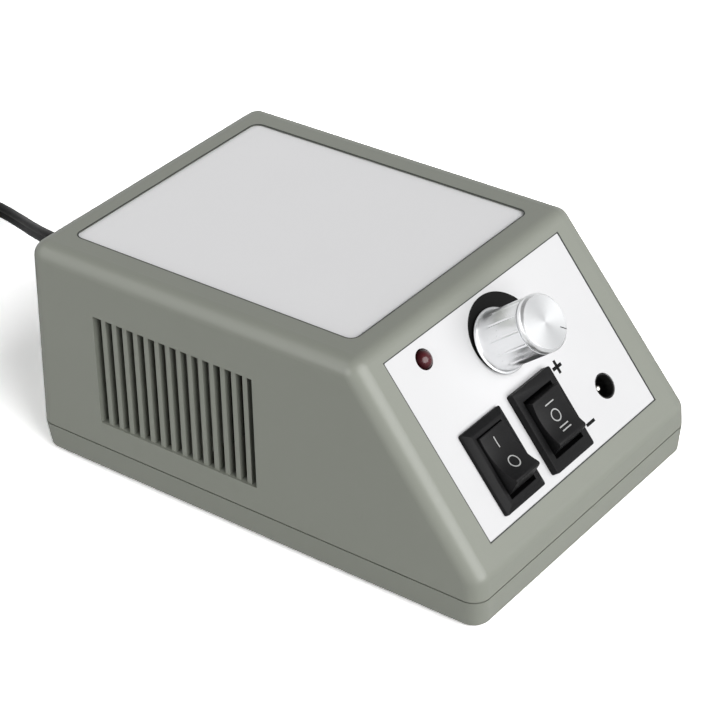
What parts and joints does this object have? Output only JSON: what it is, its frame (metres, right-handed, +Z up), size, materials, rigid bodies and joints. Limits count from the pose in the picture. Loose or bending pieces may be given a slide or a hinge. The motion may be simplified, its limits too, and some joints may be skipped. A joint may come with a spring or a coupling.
{
  "type": "nail drill machine",
  "caption": "Mains-powered control box for a nail drill: sloped front panel with rocker switches, speed knob, lamp and output socket, side vents and a mains cord with a flat plug.",
  "frame": {"origin": "on the surface that the rubber feet stand on, under the middle of the box", "axes": "+X to the right across the front, +Y from the sloped front to the back, +Z up"},
  "size_m": [0.0995, 0.3164, 0.0612],
  "materials": {
    "housing_abs": "moulded ABS, fine spark texture, grey-green",
    "label_film": "white printed polyester film",
    "plate_film": "pale grey plate, satin",
    "foot_rubber": "matt black rubber",
    "zinc_screw": "bright zinc-plated steel",
    "switch_plastic": "semi-gloss black nylon",
    "pom_white": "natural acetal",
    "spring_steel": "spring steel wire",
    "contact_brass": "stamped brass",
    "nickel_plate": "nickel-plated brass",
    "phenolic": "brown phenolic paper",
    "shaft_aluminium": "turned or extruded aluminium",
    "knob_shell": "turned and knurled aluminium",
    "knob_hub": "grey nylon hub",
    "lamp_lens": "dark red diffused epoxy",
    "tinned_wire": "tinned wire",
    "jack_plastic": "black nylon",
    "core_steel": "stacked varnished steel sheets",
    "bobbin_nylon": "natural nylon",
    "copper_wire": "enamelled copper wire under tape",
    "strap_steel": "zinc-plated steel strap",
    "fuse_link": "ceramic body",
    "board_laminate": "paper laminate board",
    "capacitor_sleeve": "dark blue shrink sleeve",
    "part_epoxy": "black moulded epoxy",
    "resistor_body": "beige lacquer",
    "fuse_glass": "glass tube with plated caps",
    "connector_nylon": "white nylon",
    "lead_pvc": "insulated hook-up wire",
    "cord_pvc": "black flexible PVC",
    "tie_nylon": "black tie band"
  },
  "bodies": {
    "root": {"base_tray": "housing_abs", "board_connectors": "connector_nylon", "board_resistors": "resistor_body", "board_screws": "zinc_screw", "circuit_board": "board_laminate", "control_leads": "lead_pvc", "cord_tie": "tie_nylon", "filter_capacitor": "capacitor_sleeve", "front_label": "label_film", "fuse_clips": "contact_brass", "glass_fuse": "fuse_glass", "heat_sink": "shaft_aluminium", "housing_screws": "zinc_screw", "jack_body": "jack_plastic", "jack_contact": "contact_brass", "jack_pin": "contact_brass", "led_leads": "tinned_wire", "led_lens": "lamp_lens", "machine_screws": "zinc_screw", "mains_cord": "cord_pvc", "mains_cord_coil": "cord_pvc", "mains_leads": "lead_pvc", "plug_body": "cord_pvc", "plug_pins": "nickel_plate", "polarity_switch_body": "switch_plastic", "polarity_terminals": "contact_brass", "pot_bushing": "nickel_plate", "pot_case": "nickel_plate", "pot_nut": "nickel_plate", "pot_terminals": "contact_brass", "pot_wafer": "phenolic", "pot_washer": "nickel_plate", "power_switch_body": "switch_plastic", "power_terminals": "contact_brass", "primary_winding": "copper_wire", "rectifier_diodes": "part_epoxy", "rubber_feet": "foot_rubber", "secondary_winding": "copper_wire", "speed_regulator": "part_epoxy", "strain_relief": "cord_pvc", "switch_leads": "lead_pvc", "thermal_fuse": "fuse_link", "top_plate": "plate_film", "transformer_bobbin": "bobbin_nylon", "transformer_bracket": "strap_steel", "transformer_core": "core_steel", "transformer_leads": "lead_pvc", "upper_housing": "housing_abs"},
    "knob": {"speed_knob": "knob_shell", "knob_insert": "knob_hub", "pot_shaft": "shaft_aluminium", "pot_wiper": "contact_brass"},
    "power_rocker": {"power_rocker": "switch_plastic", "power_plunger": "pom_white", "power_spring": "spring_steel"},
    "power_contact": {"power_contact": "contact_brass"},
    "polarity_rocker": {"polarity_rocker": "switch_plastic", "polarity_plunger": "pom_white", "polarity_spring": "spring_steel"},
    "polarity_contact": {"polarity_contact": "contact_brass"}
  },
  "joints": [
    {"name": "knob_turn", "type": "hinge", "parent": "root", "child": "knob", "pos_m": [-0.00075, -0.04558, 0.04933], "axis": [0, -0.7976, 0.6032], "range_deg": [-18, 282]},
    {"name": "power_rocker_tilt", "type": "hinge", "parent": "root", "child": "power_rocker", "pos_m": [-0.019, -0.05405, 0.02834], "axis": [1, 0, 0], "range_deg": [0, 33]},
    {"name": "polarity_rocker_tilt", "type": "hinge", "parent": "root", "child": "polarity_rocker", "pos_m": [0, -0.05405, 0.02834], "axis": [1, 0, 0], "range_deg": [0, 13]},
    {"name": "power_contact_tilt", "type": "hinge", "parent": "root", "child": "power_contact", "pos_m": [-0.019, -0.04887, 0.02442], "axis": [1, 0, 0], "range_deg": [-12, 0]},
    {"name": "polarity_contact_tilt", "type": "hinge", "parent": "root", "child": "polarity_contact", "pos_m": [0, -0.04887, 0.02442], "axis": [1, 0, 0], "range_deg": [-12, 0]}
  ],
  "couplings": [
    {"joint": "power_contact_tilt", "follows": "power_rocker_tilt", "ratio": -0.36364},
    {"joint": "polarity_contact_tilt", "follows": "polarity_rocker_tilt", "ratio": -0.92308}
  ]
}
